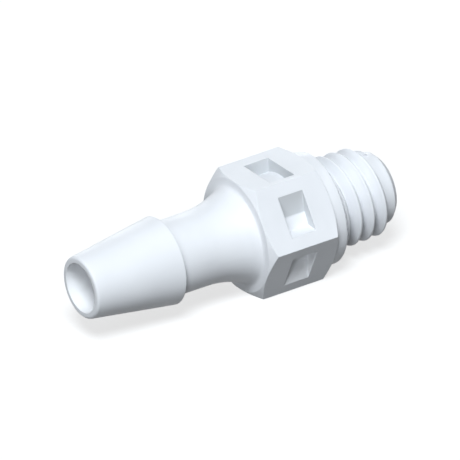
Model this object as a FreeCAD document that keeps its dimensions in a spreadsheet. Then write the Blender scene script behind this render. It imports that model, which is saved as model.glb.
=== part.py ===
import FreeCAD, Part
import math
import os

import Sketcher

# Threaded hose barb fitting, moulded in one piece. Lengths in mm, angles in degrees.
# X runs along the bore from the barb tip to the thread, with X = 0 on the collar face that
# seats on the port. Z points up from the flat that lies opposite the resting one.
SIZES = [
    ("bore_dia", 2.75, "straight flow passage"),
    ("tip_dia", 3.40, "outside of the barb at its tip"),
    ("tip_round", 0.165, "rounded lip of the tip"),
    ("barb_dia", 4.86, "sharp ring of the barb"),
    ("barb_length", 5.06, "tip to barb ring"),
    ("stem_dia", 4.08, "neck behind the barb"),
    ("stem_length", 2.07, "straight part of the neck"),
    ("flare_dia", 5.34, "neck where it meets the hexagon"),
    ("flare_length", 2.59, "widening part of the neck"),
    ("flare_fillet", 0.25, "neck to hexagon face"),
    ("hex_flats", 6.35, "hexagon across flats"),
    ("hex_length", 4.32, "hexagon between its end faces"),
    ("hex_face_dia", 6.29, "round face left by the corner chamfers"),
    ("hex_chamfer", 30.0, "corner chamfer, measured from the end face"),
    ("collar_dia", 6.18, "seating collar"),
    ("collar_length", 0.69, "collar behind the hexagon"),
    ("collar_round", 0.08, "rounded rim of the collar"),
    ("barrel_dia", 5.00, "barrel seen as the floor of the pockets"),
    ("pocket_length", 1.51, "pocket along the axis"),
    ("pocket_width", 2.26, "mouth of the four side pockets"),
    ("top_pocket_width", 2.57, "mouth of the two pockets in line with the pull"),
    ("top_pocket_shift", 0.21, "how far those two sit off the middle of their flat"),
    ("pocket_draft", 3.0, "draft of the pocket walls"),
    ("thread_dia", 5.02, "thread crest at the collar"),
    ("thread_root_flat", 0.03, "flat left between two turns at the root"),
    ("thread_pitch", 0.794, "32 turns to the inch"),
    ("thread_taper", 1.2, "how far each side of the thread leans in"),
    ("thread_angle", 60.0, "included angle of the thread form"),
    ("thread_crest_flat", 0.08, "flat on the crest"),
    ("thread_crest_bevel", 0.05, "bevel that eases each edge of the crest"),
    ("thread_phase", 0.24, "first crest after the collar, above the axis"),
    ("thread_length", 3.66, "collar face to the end of the lead-in"),
    ("nose_length", 0.30, "plain nose at root diameter"),
    ("nose_chamfer", 0.27, "chamfer round the nose"),
]
SHEET = "Sizes"
SINE_60 = math.sqrt(3) / 2
COSINE_60 = 0.5
OUTSIDE = 1.0
HIDDEN_TURNS = 1
SUNK = 0.02
CLOSE = 0.001


class Size:
    """A size as text for setExpression, together with its present value."""

    def __init__(self, text, value):
        self.text = text
        self.value = value

    def joined(self, sign, other, value):
        right = other.text if isinstance(other, Size) else repr(other)
        return Size("(%s %s %s)" % (self.text, sign, right), value)

    def __add__(self, other):
        return self.joined("+", other, self.value + number(other))

    def __sub__(self, other):
        return self.joined("-", other, self.value - number(other))

    def __mul__(self, other):
        return self.joined("*", other, self.value * number(other))

    def __truediv__(self, other):
        return self.joined("/", other, self.value / number(other))

    def __neg__(self):
        return Size("(0 - %s)" % self.text, -self.value)


def number(size):
    return size.value if isinstance(size, Size) else size


def tangent(angle):
    return Size("tan(%s * 1 deg)" % angle.text, math.tan(math.radians(angle.value)))


def make_sheet(doc):
    """Spreadsheet with one named value a row."""
    sheet = doc.addObject("Spreadsheet::Sheet", SHEET)
    for row, (name, value, note) in enumerate(SIZES, 1):
        sheet.set("A%d" % row, name)
        sheet.set("B%d" % row, str(value))
        sheet.set("C%d" % row, note)
        sheet.setAlias("B%d" % row, name)
    doc.recompute()
    return {name: Size("%s.%s" % (SHEET, name), float(value)) for name, value, note in SIZES}


def origin_part(body, role):
    """A plane or axis of the body's own origin, found by its role."""
    return next(item for item in body.Origin.OriginFeatures if item.Role == role)


def new_sketch(body, name, role, offset=None):
    """Sketch on one of the body's planes, moved along the plane's normal."""
    sketch = body.newObject("Sketcher::SketchObject", name)
    sketch.AttachmentSupport = [(origin_part(body, role), "")]
    sketch.MapMode = "FlatFace"
    if offset is not None:
        sketch.AttachmentOffset.Base.z = offset.value
        sketch.setExpression("AttachmentOffset.Base.z", offset.text)
    return sketch


def pin_vertex(sketch, edge, end, corner):
    """Place one end of an edge by its two coordinates."""
    for kind, size in (("DistanceX", corner[0]), ("DistanceY", corner[1])):
        constraint = Sketcher.Constraint(kind, -1, 1, edge, end, number(size))
        index = sketch.addConstraint(constraint)
        if isinstance(size, Size):
            sketch.setExpression("Constraints[%d]" % index, size.text)


def add_outline(sketch, corners):
    """Closed outline of straight edges through the corners."""
    points = [FreeCAD.Vector(number(x), number(y), 0) for x, y in corners]
    first = sketch.GeometryCount
    count = len(points)
    for i in range(count):
        sketch.addGeometry(Part.LineSegment(points[i], points[(i + 1) % count]), False)
    for i in range(count):
        sketch.addConstraint(
            Sketcher.Constraint("Coincident", first + i, 2, first + (i + 1) % count, 1)
        )
        pin_vertex(sketch, first + i, 1, corners[i])
    return first


def add_hexagon(body, s):
    """Hexagon prism with both end faces chamfered round."""
    start = -(s["collar_length"] + s["hex_length"])
    sketch = new_sketch(body, "hexagon_outline", "YZ_Plane", start)
    half = s["hex_flats"] / 2
    corner = half / SINE_60
    shoulder = corner * COSINE_60
    upper = [(corner, 0), (shoulder, half), (-shoulder, half)]
    lower = [(-corner, 0), (-shoulder, -half), (shoulder, -half)]
    add_outline(sketch, upper + lower)
    pad = body.newObject("PartDesign::Pad", "hexagon")
    pad.Profile = sketch
    pad.setExpression("Length", s["hex_length"].text)

    chamfer = new_sketch(body, "corner_chamfer_outline", "XZ_Plane")
    face = s["hex_face_dia"] / 2
    outer = corner + OUTSIDE
    depth = (outer - face) * tangent(s["hex_chamfer"])
    add_outline(chamfer, [(start, face), (start, outer), (start + depth, outer)])
    end = -s["collar_length"]
    add_outline(chamfer, [(end, face), (end, outer), (end - depth, outer)])
    turn(body, "PartDesign::Groove", "corner_chamfers", chamfer)


def turn(body, kind, name, sketch):
    """Revolution or groove of a sketch about the X axis."""
    feature = body.newObject(kind, name)
    feature.Profile = sketch
    feature.ReferenceAxis = (sketch, ["H_Axis"])
    feature.Angle = 360
    return feature


def add_pockets(body, s):
    """Six pockets, three from each mould half, with walls along the pull."""
    middle = -(s["collar_length"] + s["hex_length"] / 2)
    sketch = new_sketch(body, "pocket_outline", "YZ_Plane", middle + s["pocket_length"] / 2)
    half = s["hex_flats"] / 2
    top = half + OUTSIDE
    lean = tangent(s["pocket_draft"])
    reach = s["pocket_width"] / 2
    rim_y = half * SINE_60 - reach * COSINE_60
    rim_z = half * COSINE_60 + reach * SINE_60
    floor = half * COSINE_60 - reach * SINE_60
    inner = rim_y + (rim_z - floor) * lean
    upper = rim_y - (top - rim_z) * lean
    beyond = half / SINE_60 + OUTSIDE
    add_outline(sketch, [(inner, floor), (beyond, floor), (beyond, top), (upper, top)])
    add_outline(sketch, [(-inner, floor), (-upper, top), (-beyond, top), (-beyond, floor)])
    left = -(s["top_pocket_width"] / 2 + s["top_pocket_shift"])
    right = s["top_pocket_width"] / 2 - s["top_pocket_shift"]
    narrow = (half - floor) * lean
    wide = (top - half) * lean
    add_outline(
        sketch,
        [(left + narrow, floor), (right - narrow, floor), (right + wide, top), (left - wide, top)],
    )
    pocket = body.newObject("PartDesign::Pocket", "upper_pockets")
    pocket.Profile = sketch
    pocket.setExpression("Length", s["pocket_length"].text)

    pattern = body.newObject("PartDesign::PolarPattern", "pockets_of_both_halves")
    pattern.Originals = [pocket]
    pattern.Axis = (sketch, ["N_Axis"])
    pattern.Angle = 360
    pattern.Occurrences = 2
    body.Tip = pattern


def add_tube(body, s):
    """Turned form: barb, neck, flare, barrel, collar and thread core."""
    seat = -s["collar_length"]
    face = seat - s["hex_length"]
    neck = face - s["flare_length"]
    ring = neck - s["stem_length"]
    tip = ring - s["barb_length"]
    wall = (s["hex_length"] - s["pocket_length"]) / 4
    root = thread_root(s)
    cut = s["nose_chamfer"]
    end = s["thread_length"] + s["nose_length"]
    sketch = new_sketch(body, "tube_outline", "XZ_Plane")
    corners = [
        (tip, 0),
        (tip, s["tip_dia"] / 2),
        (ring, s["barb_dia"] / 2),
        (ring, s["stem_dia"] / 2),
        (neck, s["stem_dia"] / 2),
        (face, s["flare_dia"] / 2),
        (face + wall, s["barrel_dia"] / 2),
        (seat - wall, s["barrel_dia"] / 2),
        (seat - wall, s["collar_dia"] / 2),
        (0, s["collar_dia"] / 2),
        (0, root),
        (end - cut, root),
        (end, root - cut),
        (end, 0),
    ]
    first = add_outline(sketch, corners)
    bend_flare(sketch, first + 4)
    turn(body, "PartDesign::Revolution", "tube", sketch)
    return tip, face


def bend_flare(sketch, edge):
    """Replace a straight edge of the outline by an arc that leaves the neck smoothly."""
    line = sketch.Geometry[edge]
    start, end = line.StartPoint, line.EndPoint
    rise = end.y - start.y
    run = end.x - start.x
    radius = (run * run + rise * rise) / (2 * rise)
    centre = FreeCAD.Vector(start.x, start.y + radius, 0)
    sweep = math.asin(run / radius)
    circle = Part.Circle(centre, FreeCAD.Vector(0, 0, 1), radius)
    sketch.toggleConstruction(edge)
    arc = sketch.addGeometry(Part.ArcOfCircle(circle, -math.pi / 2, sweep - math.pi / 2), False)
    sketch.addConstraint(Sketcher.Constraint("Tangent", arc, 1, edge - 1, 2))
    sketch.addConstraint(Sketcher.Constraint("Coincident", arc, 2, edge, 2))


def is_ring(edge, radius, x):
    """Whether an edge is the circle with this radius at this place on the axis."""
    curve = edge.Curve
    if not isinstance(curve, Part.Circle):
        return False
    return abs(curve.Radius - radius) < CLOSE and abs(curve.Center.x - x) < CLOSE


def add_fillet(body, name, radius, x, size):
    """Fillet of the ring edge with this radius at this place on the axis."""
    base = body.Tip
    ring = (number(radius), number(x))
    names = ["Edge%d" % i for i, edge in enumerate(base.Shape.Edges, 1) if is_ring(edge, *ring)]
    fillet = body.newObject("PartDesign::Fillet", name)
    fillet.Base = (base, names)
    fillet.setExpression("Radius", size.text)
    body.Document.recompute()


def thread_root(s):
    """Root radius at the collar, which follows from the crest, the pitch and the angle."""
    half_angle = tangent(s["thread_angle"] / 2)
    shoulder = s["thread_dia"] / 2 - s["thread_crest_bevel"] * half_angle
    valley = s["thread_pitch"] - s["thread_root_flat"] - s["thread_crest_flat"]
    flank = valley / 2 - s["thread_crest_bevel"]
    return shoulder - flank / half_angle


def add_thread(body, s):
    """Right-hand thread with eased crests, swept along a helix that leans inwards."""
    start = s["thread_phase"] - s["thread_pitch"] * HIDDEN_TURNS
    half_angle = tangent(s["thread_angle"] / 2)
    crest = s["thread_dia"] / 2 - start * tangent(s["thread_taper"])
    shoulder = crest - s["thread_crest_bevel"] * half_angle
    flat = s["thread_crest_flat"] / 2
    bevel = flat + s["thread_crest_bevel"]
    base = thread_root(s) - SUNK
    foot = bevel + (shoulder - base) * half_angle
    sketch = new_sketch(body, "thread_form", "XZ_Plane")
    corners = [
        (start - foot, base),
        (start - bevel, shoulder),
        (start - flat, crest),
        (start + flat, crest),
        (start + bevel, shoulder),
        (start + foot, base),
    ]
    add_outline(sketch, corners)
    helix = body.newObject("PartDesign::AdditiveHelix", "thread")
    helix.Profile = sketch
    helix.ReferenceAxis = (sketch, ["H_Axis"])
    helix.Mode = "pitch-height-angle"
    height = s["thread_length"] + s["thread_pitch"] - start
    helix.setExpression("Pitch", s["thread_pitch"].text)
    helix.setExpression("Height", height.text)
    helix.setExpression("Angle", (-s["thread_taper"]).text)


def add_lead_in(body, s):
    """Cone that lets the first turns rise out of the nose."""
    outer = s["thread_dia"] / 2 + OUTSIDE
    root = thread_root(s)
    lead = s["thread_length"]
    far = lead + s["thread_pitch"] * 2 + OUTSIDE
    inner = root - s["nose_length"]
    sketch = new_sketch(body, "lead_in_outline", "XZ_Plane")
    corners = [(lead - (outer - root), outer), (lead + s["nose_length"], inner), (far, inner), (far, outer)]
    add_outline(sketch, corners)
    turn(body, "PartDesign::Groove", "lead_in", sketch)


def add_bore(body, s, tip):
    """Straight passage through the whole fitting."""
    sketch = new_sketch(body, "bore_outline", "YZ_Plane", tip)
    circle = Part.Circle(FreeCAD.Vector(0, 0, 0), FreeCAD.Vector(0, 0, 1), s["bore_dia"].value / 2)
    ring = sketch.addGeometry(circle, False)
    sketch.addConstraint(Sketcher.Constraint("Coincident", ring, 3, -1, 1))
    index = sketch.addConstraint(Sketcher.Constraint("Diameter", ring, s["bore_dia"].value))
    sketch.setExpression("Constraints[%d]" % index, s["bore_dia"].text)
    bore = body.newObject("PartDesign::Pocket", "bore")
    bore.Profile = sketch
    bore.Type = "ThroughAll"
    bore.Reversed = True
    return bore


def check(doc):
    """Stop on any object that didn't compute."""
    for item in doc.Objects:
        if "Invalid" in item.State or "Error" in item.State:
            raise RuntimeError("%s didn't compute" % item.Name)
        if hasattr(item, "Shape") and item.TypeId.startswith("PartDesign::"):
            if item.Shape.isNull() or not item.Shape.isValid():
                raise RuntimeError("%s has no valid shape" % item.Name)


def main():
    os.makedirs("parts", exist_ok=True)
    doc = FreeCAD.newDocument("hose_barb_fitting")
    sizes = make_sheet(doc)
    turns = doc.addObject("PartDesign::Body", "thread_turns")
    add_thread(turns, sizes)
    add_lead_in(turns, sizes)

    body = doc.addObject("PartDesign::Body", "fitting_body")
    body.Label = "fitting_body"
    add_hexagon(body, sizes)
    add_pockets(body, sizes)
    tip, face = add_tube(body, sizes)
    doc.recompute()
    add_fillet(body, "tip_lip", sizes["tip_dia"] / 2, tip, sizes["tip_round"])
    add_fillet(body, "flare_foot", sizes["flare_dia"] / 2, face, sizes["flare_fillet"])
    add_fillet(body, "collar_rim", sizes["collar_dia"] / 2, 0, sizes["collar_round"])
    add_bore(body, sizes, tip)
    joined = body.newObject("PartDesign::Boolean", "with_thread")
    joined.Type = "Fuse"
    joined.setObjects([turns])
    doc.recompute()
    check(doc)
    body.Shape.exportStep("parts/%s.step" % body.Label)


main()
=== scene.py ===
"""Moulded hose barb fitting: the white plastic part on a pale floor under soft studio light."""

import math

import bmesh
import bpy
from mathutils import Matrix, Vector


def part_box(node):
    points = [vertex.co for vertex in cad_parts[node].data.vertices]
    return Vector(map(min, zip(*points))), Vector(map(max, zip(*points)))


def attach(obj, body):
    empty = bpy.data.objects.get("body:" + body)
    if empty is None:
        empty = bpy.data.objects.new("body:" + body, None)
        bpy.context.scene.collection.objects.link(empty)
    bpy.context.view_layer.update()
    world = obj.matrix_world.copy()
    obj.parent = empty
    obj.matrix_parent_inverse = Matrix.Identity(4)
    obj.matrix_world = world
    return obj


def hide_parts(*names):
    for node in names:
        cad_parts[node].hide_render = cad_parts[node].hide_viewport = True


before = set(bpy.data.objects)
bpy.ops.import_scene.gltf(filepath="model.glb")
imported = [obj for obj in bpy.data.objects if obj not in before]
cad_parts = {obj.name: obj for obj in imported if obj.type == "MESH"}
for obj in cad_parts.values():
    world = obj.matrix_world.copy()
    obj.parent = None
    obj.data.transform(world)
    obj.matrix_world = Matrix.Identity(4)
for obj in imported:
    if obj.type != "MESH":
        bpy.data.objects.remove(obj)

bl_info = {
    "name": "Hose barb fitting",
    "version": (1, 0, 0),
    "blender": (4, 5, 0),
    "location": "View3D > Sidebar > Fitting",
    "description": "Moulds the fitting and its thread, and sets the floor, the lamps and the camera",
    "category": "Object",
}

NODE = "fitting_body"
MM = 0.001
TURN = 2 * math.pi
AXIS = (1, 0, 0)
ORIGIN = (0, 0, 0)

# Sine and cosine of 60 degrees, for the hexagon's slanted flats.
SINE_60 = math.sqrt(3) / 2
COSINE_60 = 0.5

# Where the threaded end starts, how deep the ridge stands in the core, and how far the
# barrel's band reaches inwards and past the pockets.
SEAT = -0.001 * MM
SUNK = 0.02 * MM
BAND = 0.2 * MM

# Points nearer than MERGE are one, and an edge that turns by less than SHARP is smooth.
MERGE = 0.0001 * MM
SHARP = math.radians(23)
STEPS_A_TURN = 96
FLANK_STEPS = 5

# The plastic's pattern. EDGE is the width of a mask's border.
EDGE = 0.01 * MM
CLOUD_DETAIL = 2.0
CLOUD_START = 0.35
CLOUD_END = 0.65
GRAIN_DETAIL = 3.0
BEVEL_SAMPLES = 8

# The floor's paper and its glow, and how dim it is to the light that falls back on the part.
WHITE = (1.0, 1.0, 1.0, 1.0)
PAPER = (0.4, 0.4, 0.4, 1.0)
GLOW = 0.68
DIM = (0.04, 0.04, 0.04, 1.0)

# The camera stands this many view widths away, and sees between these two distances.
CAMERA_WIDTHS = 3
CLIP_START = 1 * MM
CLIP_END = 1000 * MM

# Sockets of a Mix node that mixes colours.
COLOUR_FACTOR = 0
COLOUR_A = 6
COLOUR_B = 7
COLOUR_RESULT = 2


class PlasticLook(bpy.types.PropertyGroup):
    """Finish of the moulded plastic."""

    colour: bpy.props.FloatVectorProperty(
        name="Colour",
        description="Natural white nylon",
        subtype="COLOR",
        size=3,
        default=(0.845, 0.86, 0.89),
    )
    cloud_colour: bpy.props.FloatVectorProperty(
        name="Cloud colour",
        description="Where the nylon is cloudier",
        subtype="COLOR",
        size=3,
        default=(0.815, 0.83, 0.86),
    )
    # Painted shade: a darker colour on the walls of the upper pockets.
    pocket_shade_colour: bpy.props.FloatVectorProperty(
        name="Wall colour",
        description="Duller skin on the walls of the pockets",
        subtype="COLOR",
        size=3,
        default=(0.65, 0.67, 0.69),
    )
    # Painted light: a brighter colour in the bore and the lower pockets, where shade falls.
    painted_light_colour: bpy.props.FloatVectorProperty(
        name="Core colour",
        description="Brighter skin that polished pins of the mould leave in the bore and the lower pockets",
        subtype="COLOR",
        size=3,
        default=(0.93, 0.94, 0.96),
    )
    cloud_size: bpy.props.FloatProperty(
        name="Cloud size",
        description="Width of one cloud",
        default=2.4 * MM,
        subtype="DISTANCE",
        unit="LENGTH",
    )
    grain_size: bpy.props.FloatProperty(
        name="Grain size",
        description="Width of one grain",
        default=0.12 * MM,
        subtype="DISTANCE",
        unit="LENGTH",
    )
    grain_height: bpy.props.FloatProperty(
        name="Grain height",
        description="Height of the mould's grain",
        default=0.0012 * MM,
        subtype="DISTANCE",
        unit="LENGTH",
    )
    edge_radius: bpy.props.FloatProperty(
        name="Edge radius",
        description="How far the light rounds an edge",
        default=0.05 * MM,
        subtype="DISTANCE",
        unit="LENGTH",
    )
    polish: bpy.props.FloatProperty(
        name="Polish", description="Roughness of the smoothest skin", default=0.38, min=0.0, max=1.0
    )
    satin: bpy.props.FloatProperty(
        name="Satin", description="Roughness of the dullest skin", default=0.52, min=0.0, max=1.0
    )
    gloss: bpy.props.FloatProperty(
        name="Gloss", description="Specular level of the plastic", default=0.2, min=0.0, max=1.0
    )
    # The pocket sizes below also place the painted shade and the painted light.
    pocket_middle: bpy.props.FloatProperty(
        name="Pocket middle",
        description="Middle of the pockets along the bore",
        default=-2.85 * MM,
        subtype="DISTANCE",
        unit="LENGTH",
    )
    pocket_reach: bpy.props.FloatProperty(
        name="Pocket reach",
        description="Half the length of a pocket",
        default=0.77 * MM,
        subtype="DISTANCE",
        unit="LENGTH",
    )
    # Inside this radius the colour is painted light.
    bore_radius: bpy.props.FloatProperty(
        name="Bore radius",
        description="Radius within which the skin is the core pin's",
        default=1.39 * MM,
        subtype="DISTANCE",
        unit="LENGTH",
    )
    pocket_floor: bpy.props.FloatProperty(
        name="Pocket floor",
        description="Radius of the barrel that is the floor of the pockets",
        default=2.59 * MM,
        subtype="DISTANCE",
        unit="LENGTH",
    )
    pocket_round: bpy.props.FloatProperty(
        name="Pocket rounding",
        description="Height over which a pocket's floor turns into its wall",
        default=0.04 * MM,
        subtype="DISTANCE",
        unit="LENGTH",
    )
    pocket_sill: bpy.props.FloatProperty(
        name="Pocket sill",
        description="Height of the side pockets' lower walls, which face up and are as bright as the flats",
        default=0.66 * MM,
        subtype="DISTANCE",
        unit="LENGTH",
    )


class ThreadForm(bpy.types.PropertyGroup):
    """Form of the threaded end, with lengths along the bore taken from the collar's seat."""

    crest_radius: bpy.props.FloatProperty(
        name="Crest radius",
        description="Radius of the crest at the seat",
        default=2.545 * MM,
        subtype="DISTANCE",
        unit="LENGTH",
    )
    lean: bpy.props.FloatProperty(
        name="Lean", description="How far each side leans in", default=math.radians(2.1), subtype="ANGLE"
    )
    pitch: bpy.props.FloatProperty(
        name="Pitch",
        description="32 turns to the inch",
        default=0.794 * MM,
        subtype="DISTANCE",
        unit="LENGTH",
    )
    angle: bpy.props.FloatProperty(
        name="Angle", description="Angle between the flanks", default=math.radians(60), subtype="ANGLE"
    )
    crest_flat: bpy.props.FloatProperty(
        name="Crest flat",
        description="Flat on the crest",
        default=0.05 * MM,
        subtype="DISTANCE",
        unit="LENGTH",
    )
    crest_bevel: bpy.props.FloatProperty(
        name="Crest bevel",
        description="Bevel that eases each edge of the crest",
        default=0.035 * MM,
        subtype="DISTANCE",
        unit="LENGTH",
    )
    root_flat: bpy.props.FloatProperty(
        name="Root flat",
        description="Flat left between two turns at the seat",
        default=0.02 * MM,
        subtype="DISTANCE",
        unit="LENGTH",
    )
    phase: bpy.props.FloatProperty(
        name="Phase",
        description="First crest after the seat, above the axis",
        default=0.22 * MM,
        subtype="DISTANCE",
        unit="LENGTH",
    )
    turns: bpy.props.IntProperty(
        name="Turns", description="Turns, with the one that starts in the collar", default=5, min=1
    )
    lead_in: bpy.props.FloatProperty(
        name="Lead-in",
        description="End of the cone that the thread rises from",
        default=3.38 * MM,
        subtype="DISTANCE",
        unit="LENGTH",
    )
    nose: bpy.props.FloatProperty(
        name="Nose",
        description="Length of the plain nose, chamfer included",
        default=0.57 * MM,
        subtype="DISTANCE",
        unit="LENGTH",
    )
    nose_chamfer: bpy.props.FloatProperty(
        name="Nose chamfer",
        description="Chamfer round the nose",
        default=0.28 * MM,
        subtype="DISTANCE",
        unit="LENGTH",
    )
    bore: bpy.props.FloatProperty(
        name="Bore",
        description="Radius of the bore",
        default=1.375 * MM,
        subtype="DISTANCE",
        unit="LENGTH",
    )


class StageLook(bpy.types.PropertyGroup):
    """Floor, lamps and camera."""

    floor_size: bpy.props.FloatProperty(
        name="Floor size",
        description="Width of the floor",
        default=1.2,
        subtype="DISTANCE",
        unit="LENGTH",
    )
    key_strength: bpy.props.FloatProperty(
        name="Key lamp",
        description="Strength of the key lamp",
        default=2.65,
    )
    key_direction: bpy.props.FloatVectorProperty(
        name="Key direction",
        description="Where the key lamp stands",
        size=3,
        default=(-0.342, -0.498, 0.797),
    )
    side_strength: bpy.props.FloatProperty(
        name="Side lamp",
        description="Strength of the side lamp",
        default=0.7,
    )
    side_direction: bpy.props.FloatVectorProperty(
        name="Side direction",
        description="Where the side lamp stands",
        size=3,
        default=(-0.692, -0.692, 0.208),
    )
    back_strength: bpy.props.FloatProperty(
        name="Back lamp",
        description="Strength of the back lamp",
        default=0.5,
    )
    back_direction: bpy.props.FloatVectorProperty(
        name="Back direction",
        description="Where the back lamp stands",
        size=3,
        default=(0.46, 0.88, 0.12),
    )
    softness: bpy.props.FloatProperty(
        name="Softness",
        description="Angle that each lamp fills",
        default=math.radians(22),
        subtype="ANGLE",
    )
    fill_strength: bpy.props.FloatProperty(name="Fill", description="Light from all round", default=0.21)
    light_colour: bpy.props.FloatVectorProperty(
        name="Light colour",
        description="Cool white of the lamps",
        subtype="COLOR",
        size=3,
        default=(0.95, 1.0, 1.04),
    )
    view_azimuth: bpy.props.FloatProperty(
        name="Azimuth",
        description="Camera's turn round the part",
        default=math.radians(-31.03),
        subtype="ANGLE",
    )
    view_elevation: bpy.props.FloatProperty(
        name="Elevation",
        description="Camera's height above level",
        default=math.radians(26.32),
        subtype="ANGLE",
    )
    view_roll: bpy.props.FloatProperty(
        name="Roll",
        description="Camera's turn about its own line of sight",
        default=math.radians(3.97),
        subtype="ANGLE",
    )
    view_width: bpy.props.FloatProperty(
        name="View width",
        description="Width of what the camera sees",
        default=24.109 * MM,
        subtype="DISTANCE",
    )
    view_centre: bpy.props.FloatVectorProperty(
        name="View centre",
        description="Point in the middle of the picture",
        size=3,
        default=(-5.253 * MM, 0.174 * MM, 0.302 * MM),
        subtype="XYZ",
    )


class Socket:
    """A node output that can be written into expressions."""

    def __init__(self, shader, link):
        self.shader = shader
        self.link = link

    def math(self, operation, *values):
        return self.shader.add("ShaderNodeMath", {"operation": operation}, dict(enumerate(values)))

    def __add__(self, other):
        return self.math("ADD", self, other)

    def __sub__(self, other):
        return self.math("SUBTRACT", self, other)

    def __rsub__(self, other):
        return self.math("SUBTRACT", other, self)

    def __mul__(self, other):
        return self.math("MULTIPLY", self, other)

    def __abs__(self):
        return self.math("ABSOLUTE", self)

    def larger(self, other):
        return self.math("MAXIMUM", self, other)

    def root(self):
        return self.math("SQRT", self)

    def output(self, name):
        """Another output of the same node."""
        return Socket(self.shader, self.link.node.outputs[name])

    __radd__ = __add__
    __rmul__ = __mul__


class Shader:
    """Node tree of a material or of the world."""

    def __init__(self, owner):
        owner.use_nodes = True
        self.tree = owner.node_tree
        self.tree.nodes.clear()

    def add(self, kind, settings=None, values=None, output=0):
        """A node with its settings and the values or links of its sockets."""
        node = self.tree.nodes.new(kind)
        for name, value in (settings or {}).items():
            setattr(node, name, value)
        for name, value in (values or {}).items():
            if isinstance(value, Socket):
                self.tree.links.new(value.link, node.inputs[name])
            else:
                node.inputs[name].default_value = value
        return Socket(self, node.outputs[output]) if node.outputs else node


def noise(shader, place, size, detail):
    """Soft noise whose features have the given width."""
    return shader.add("ShaderNodeTexNoise", values={"Vector": place, "Scale": 1 / size, "Detail": detail})


def ramp(shader, value, start, end):
    """0 up to the start, 1 from the end, and straight between them."""
    return shader.add("ShaderNodeMapRange", values={"Value": value, "From Min": start, "From Max": end})


def blend(shader, factor, first, second):
    """Mix of two colours."""
    values = {COLOUR_FACTOR: factor, COLOUR_A: first, COLOUR_B: second}
    return shader.add("ShaderNodeMix", {"data_type": "RGBA"}, values, COLOUR_RESULT)


def opaque(colour):
    """Colour with its alpha in full."""
    return (*colour, 1.0)


def painted_shade_and_light_masks(shader, place, look):
    """Masks of the painted shade on the walls of the upper pockets and of the painted light in the bore and
    the lower pockets.
    """
    x = shader.add("ShaderNodeSeparateXYZ", values={"Vector": place})
    y = x.output("Y")
    z = x.output("Z")
    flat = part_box(NODE)[1][2]
    level = abs(z).larger(abs(z) * COSINE_60 + abs(y) * SINE_60)
    below = ramp(shader, level, flat, flat - EDGE)
    near = ramp(shader, abs(x - look.pocket_middle), look.pocket_reach, look.pocket_reach - EDGE)
    pocket = below * near
    upper = ramp(shader, z, -EDGE, EDGE)
    walls = ramp(shader, z, look.pocket_sill, look.pocket_sill + EDGE)
    radius = (y * y + z * z).root()
    above = ramp(shader, radius, look.pocket_floor, look.pocket_floor + look.pocket_round)
    bore = ramp(shader, radius, look.bore_radius + EDGE, look.bore_radius)
    # The first mask places the painted shade, the second the painted light.
    return pocket * walls * above, bore.larger(pocket * (1 - upper))


def moulded_plastic(look):
    """White nylon: faint clouds, satin grain, softened edges, painted shade and a duller satin on the walls
    of the upper pockets, and painted light in the bore and the lower pockets.
    """
    material = bpy.data.materials.new("moulded_plastic")
    shader = Shader(material)
    place = shader.add("ShaderNodeTexCoord", output="Object")
    cloud = ramp(shader, noise(shader, place, look.cloud_size, CLOUD_DETAIL), CLOUD_START, CLOUD_END)
    grain = noise(shader, place, look.grain_size, GRAIN_DETAIL)
    # Masks of the painted shade in the upper pockets, which also makes them rougher, and of the painted
    # light in the bore and the lower pockets.
    pocket_shade_and_satin, painted_light_mask = painted_shade_and_light_masks(shader, place, look)
    skin = blend(shader, cloud, opaque(look.colour), opaque(look.cloud_colour))
    # Painted light: the brighter colour in the bore and the lower pockets.
    skin = blend(shader, painted_light_mask, skin, opaque(look.painted_light_colour))
    soft = shader.add("ShaderNodeBevel", {"samples": BEVEL_SAMPLES}, {"Radius": look.edge_radius})
    relief = {"Distance": look.grain_height, "Height": grain, "Normal": soft}
    finish = {
        # Painted shade: the darker colour on the walls of the upper pockets.
        "Base Color": blend(shader, pocket_shade_and_satin, skin, opaque(look.pocket_shade_colour)),
        "Roughness": look.polish + (cloud + pocket_shade_and_satin) * ((look.satin - look.polish) / 2),
        "Specular IOR Level": look.gloss,
        "Normal": shader.add("ShaderNodeBump", values=relief),
    }
    surface = shader.add("ShaderNodeBsdfPrincipled", values=finish)
    shader.add("ShaderNodeOutputMaterial", values={"Surface": surface})
    return material


def edges_of(parts):
    """The edges among vertices, edges and faces."""
    return [part for part in parts if isinstance(part, bmesh.types.BMEdge)]


def add_body(mesh):
    """Barb, hexagon and collar as they are, closed at the seat by a flat ring."""
    mesh.from_mesh(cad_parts[NODE].data)
    bmesh.ops.remove_doubles(mesh, verts=mesh.verts, dist=MERGE)
    parts = mesh.verts[:] + mesh.edges[:] + mesh.faces[:]
    cut = bmesh.ops.bisect_plane(mesh, geom=parts, plane_co=(SEAT, 0, 0), plane_no=AXIS, clear_outer=True)
    bmesh.ops.bridge_loops(mesh, edges=edges_of(cut["geom_cut"]))


def root_radius(form):
    """Radius of the core that the thread stands on."""
    slope = math.tan(form.angle / 2)
    shoulder = form.crest_radius - form.crest_bevel * slope
    valley = form.pitch - form.root_flat - form.crest_flat
    return shoulder - (valley / 2 - form.crest_bevel) / slope


def add_outline(mesh, corners):
    """Closed outline above the axis, through points given as place along the bore and radius."""
    verts = [mesh.verts.new((x, 0, radius)) for x, radius in corners]
    edges = [mesh.edges.new(pair) for pair in zip(verts, verts[1:] + verts[:1])]
    return verts + edges


def turn_ring(mesh, corners):
    """Closed ring turned from its outline."""
    outline = add_outline(mesh, corners)
    bmesh.ops.spin(
        mesh, geom=outline, cent=ORIGIN, axis=AXIS, angle=TURN, steps=STEPS_A_TURN, use_merge=True
    )


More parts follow.
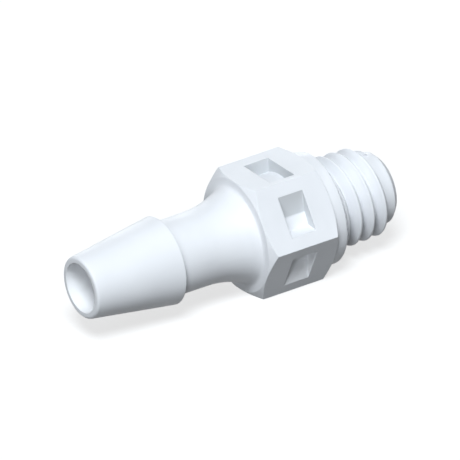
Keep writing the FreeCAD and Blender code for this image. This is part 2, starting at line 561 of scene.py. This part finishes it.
def add_core(mesh, form):
    """Core and nose of the thread, turned round the bore."""
    root = root_radius(form)
    end = form.lead_in + form.nose
    shoulder = end - form.nose_chamfer
    rim = root - form.nose_chamfer
    turn_ring(mesh, [(SEAT, form.bore), (SEAT, root), (shoulder, root), (end, rim), (end, form.bore)])


def add_barrel(mesh, look):
    """Band of the barrel that closes the pockets at their floor."""
    inner = look.pocket_floor - BAND
    reach = look.pocket_reach + BAND
    start = look.pocket_middle - reach
    end = look.pocket_middle + reach
    turn_ring(mesh, [(start, inner), (start, look.pocket_floor), (end, look.pocket_floor), (end, inner)])


def ridge_start(form):
    """Place along the bore where the ridge starts, inside the collar."""
    return form.phase - form.pitch


def ridge_section(form):
    """Section of the ridge where it starts in the collar, its flanks divided for the lead-in."""
    slope = math.tan(form.angle / 2)
    start = ridge_start(form)
    crest = form.crest_radius - start * math.tan(form.lean)
    flat = form.crest_flat / 2
    bevel = flat + form.crest_bevel
    shoulder = crest - form.crest_bevel * slope
    base = root_radius(form) - SUNK
    foot = bevel + (shoulder - base) * slope
    lower = Vector((foot, base))
    upper = Vector((bevel, shoulder))
    side = [lower.lerp(upper, step / FLANK_STEPS) for step in range(FLANK_STEPS + 1)]
    side.append(Vector((flat, crest)))
    before = [(start - out, radius) for out, radius in side]
    after = [(start + out, radius) for out, radius in reversed(side)]
    return before + after


def cut_back(verts, form):
    """Lean the ridge inwards and cut it back to the cone of the lead-in."""
    start = ridge_start(form)
    foot = root_radius(form) + form.lead_in
    for vert in verts:
        radius = vert.co.yz.length
        leant = radius - (vert.co.x - start) * math.tan(form.lean)
        vert.co.yz = vert.co.yz * min(leant, foot - vert.co.x) / radius


def add_ridge(mesh, form):
    """Right-hand ridge of the thread, wound round the core."""
    outline = add_outline(mesh, ridge_section(form))
    advance = Vector(AXIS) * form.pitch / STEPS_A_TURN
    angle = TURN * form.turns
    steps = STEPS_A_TURN * form.turns
    swept = bmesh.ops.spin(
        mesh, geom=outline, cent=ORIGIN, axis=AXIS, dvec=advance, angle=angle, steps=steps
    )
    for end in (outline, swept["geom_last"]):
        bmesh.ops.edgeloop_fill(mesh, edges=edges_of(end))
    cut_back(mesh.verts, form)


def shade(mesh):
    """Smooth round surfaces that meet at sharp edges."""
    bmesh.ops.recalc_face_normals(mesh, faces=mesh.faces)
    for face in mesh.faces:
        face.smooth = True
    for edge in mesh.edges:
        edge.smooth = edge.calc_face_angle(0.0) < SHARP


def add_shell(data, make, *settings):
    """One closed shell, added to what the mesh already has."""
    mesh = bmesh.new()
    make(mesh, *settings)
    shade(mesh)
    mesh.from_mesh(data)
    mesh.to_mesh(data)
    mesh.free()


class FITTING_OT_mould_body(bpy.types.Operator):
    """Mould the fitting in its plastic: the body, the thread and the floors of the pockets."""

    bl_idname = "fitting.mould_body"
    bl_label = "Mould the body"

    def execute(self, context):
        form = context.scene.thread_form
        data = bpy.data.meshes.new("moulded_fitting")
        add_shell(data, add_body)
        add_shell(data, add_core, form)
        add_shell(data, add_ridge, form)
        add_shell(data, add_barrel, context.scene.plastic_look)
        data.materials.append(moulded_plastic(context.scene.plastic_look))
        piece = bpy.data.objects.new("moulded_fitting", data)
        context.scene.collection.objects.link(piece)
        weights = piece.modifiers.new("Flat surfaces lead", "WEIGHTED_NORMAL")
        weights.keep_sharp = True
        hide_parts(NODE)
        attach(piece, "root")
        return {"FINISHED"}


def seen(shader):
    """1 for what the eye sees, also as a reflection or through glass."""
    ray = shader.add("ShaderNodeLightPath", output="Is Camera Ray")
    return ray + ray.output("Is Glossy Ray") + ray.output("Is Transmission Ray")


def floor_material():
    """White to the eye, darker to the light that it throws back up."""
    material = bpy.data.materials.new("pale_floor")
    shader = Shader(material)
    paper = shader.add("ShaderNodeBsdfDiffuse", values={"Color": PAPER})
    glow = shader.add("ShaderNodeEmission", values={"Color": WHITE, "Strength": GLOW})
    white = shader.add("ShaderNodeAddShader", values={0: paper, 1: glow})
    dim = shader.add("ShaderNodeBsdfDiffuse", values={"Color": DIM})
    surface = shader.add("ShaderNodeMixShader", values={0: seen(shader), 1: dim, 2: white})
    shader.add("ShaderNodeOutputMaterial", values={"Surface": surface})
    return material


def set_world(look):
    """Even grey light all round that the eye sees as white."""
    world = bpy.data.worlds.new("studio")
    bpy.context.scene.world = world
    shader = Shader(world)
    fill = {"Color": opaque(look.light_colour), "Strength": look.fill_strength}
    light = shader.add("ShaderNodeBackground", values=fill)
    white = shader.add("ShaderNodeBackground", values={"Color": WHITE})
    surface = shader.add("ShaderNodeMixShader", values={0: seen(shader), 1: light, 2: white})
    shader.add("ShaderNodeOutputWorld", values={"Surface": surface})


def set_lamp(look, name, strength, direction):
    """Soft lamp that stands far off in one direction."""
    light = bpy.data.lights.new(name, "SUN")
    light.energy = strength
    light.angle = look.softness
    light.color = look.light_colour
    lamp = bpy.data.objects.new(name, light)
    lamp.rotation_euler = (-Vector(direction)).to_track_quat("-Z", "Y").to_euler()
    bpy.context.scene.collection.objects.link(lamp)


def set_floor(look):
    """Floor under the flat that the part lies on."""
    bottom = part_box(NODE)[0][2]
    bpy.ops.mesh.primitive_plane_add(size=look.floor_size)
    floor = bpy.context.object
    floor.name = "floor"
    floor.data.transform(Matrix.Translation((0, 0, bottom)))
    floor.data.materials.append(floor_material())


def set_camera(look):
    """Camera without perspective that looks down on the part from the side of its barb."""
    camera = bpy.data.cameras.new("camera")
    camera.type = "ORTHO"
    camera.ortho_scale = look.view_width
    camera.clip_start = CLIP_START
    camera.clip_end = CLIP_END
    level = math.cos(look.view_elevation)
    side = math.sin(look.view_azimuth) * level
    front = math.cos(look.view_azimuth) * level
    back = Vector((side, -front, math.sin(look.view_elevation)))
    roll = Matrix.Rotation(-look.view_roll, 4, "Z")
    turn = (-back).to_track_quat("-Z", "Y").to_matrix().to_4x4() @ roll
    place = Vector(look.view_centre) + back * look.view_width * CAMERA_WIDTHS
    eye = bpy.data.objects.new("camera", camera)
    eye.matrix_world = Matrix.Translation(place) @ turn
    bpy.context.scene.collection.objects.link(eye)
    bpy.context.scene.camera = eye


class FITTING_OT_set_stage(bpy.types.Operator):
    """Set the floor, the lamps and the camera."""

    bl_idname = "fitting.set_stage"
    bl_label = "Set the stage"

    def execute(self, context):
        look = context.scene.stage_look
        context.scene.view_settings.view_transform = "Standard"
        set_world(look)
        set_lamp(look, "key", look.key_strength, look.key_direction)
        set_lamp(look, "side", look.side_strength, look.side_direction)
        set_lamp(look, "back", look.back_strength, look.back_direction)
        set_floor(look)
        set_camera(look)
        return {"FINISHED"}


class FITTING_PT_panel(bpy.types.Panel):
    """Steps that mould the fitting and set the stage."""

    bl_label = "Hose barb fitting"
    bl_idname = "FITTING_PT_panel"
    bl_space_type = "VIEW_3D"
    bl_region_type = "UI"
    bl_category = "Fitting"

    def draw(self, context):
        column = self.layout.column()
        for operator in STEPS:
            column.operator(operator.bl_idname)


STEPS = (FITTING_OT_mould_body, FITTING_OT_set_stage)
CLASSES = (PlasticLook, ThreadForm, StageLook, *STEPS, FITTING_PT_panel)


def register():
    for item in CLASSES:
        bpy.utils.register_class(item)
    bpy.types.Scene.plastic_look = bpy.props.PointerProperty(type=PlasticLook)
    bpy.types.Scene.thread_form = bpy.props.PointerProperty(type=ThreadForm)
    bpy.types.Scene.stage_look = bpy.props.PointerProperty(type=StageLook)


def unregister():
    del bpy.types.Scene.stage_look
    del bpy.types.Scene.thread_form
    del bpy.types.Scene.plastic_look
    for item in reversed(CLASSES):
        bpy.utils.unregister_class(item)


def main():
    register()
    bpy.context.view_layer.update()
    bpy.ops.fitting.mould_body()
    bpy.ops.fitting.set_stage()


if __name__ == "__main__":
    main()
